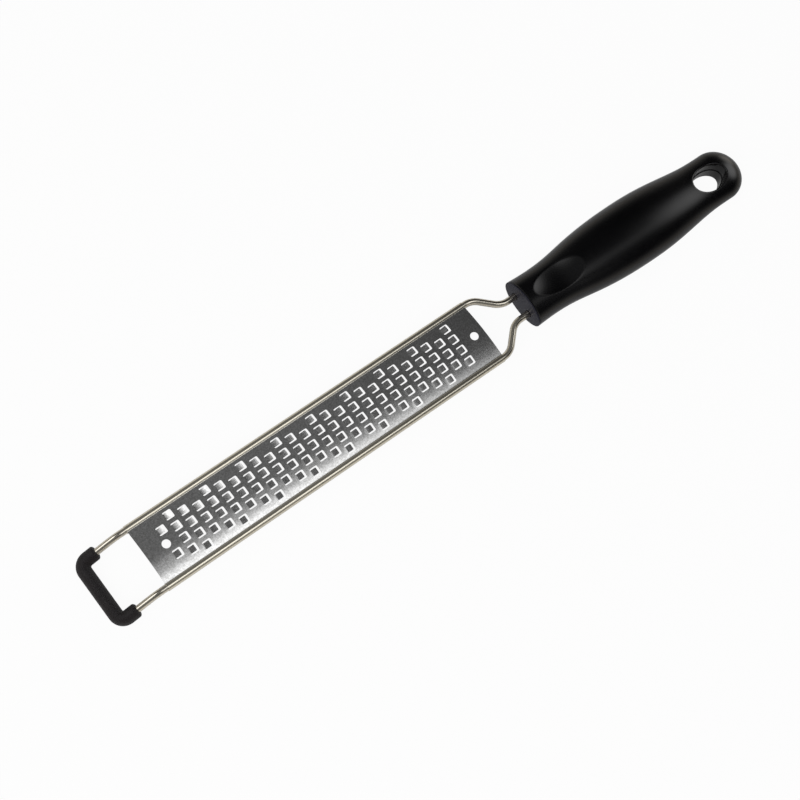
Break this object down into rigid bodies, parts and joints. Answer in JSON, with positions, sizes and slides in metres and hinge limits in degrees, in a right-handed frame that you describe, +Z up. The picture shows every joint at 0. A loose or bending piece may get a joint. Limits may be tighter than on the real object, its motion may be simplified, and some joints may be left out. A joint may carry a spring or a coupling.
{
  "type": "rasp zester",
  "caption": "Long handheld rasp zester: a punched steel blade hemmed onto a bent wire frame, with a rubber tip foot and a moulded grip with a hanging hole.",
  "frame": {"origin": "on the table under the middle of the tool's overall length and width", "axes": "+X along the tool from the tip foot to the grip, +Y across the blade, +Z up out of the toothed side"},
  "size_m": [0.3725, 0.0368, 0.0196],
  "materials": {
    "blade_steel": "satin rolled stainless sheet",
    "wire_steel": "polished drawn stainless wire",
    "foot_rubber": "matt black moulded rubber",
    "cap_plastic": "smooth dark grey plastic",
    "grip_plastic": "finely grained black plastic"
  },
  "bodies": {
    "root": {"blade": "blade_steel", "wire_frame": "wire_steel", "tip_foot": "foot_rubber", "handle_cap": "cap_plastic", "handle": "grip_plastic"}
  },
  "joints": []
}
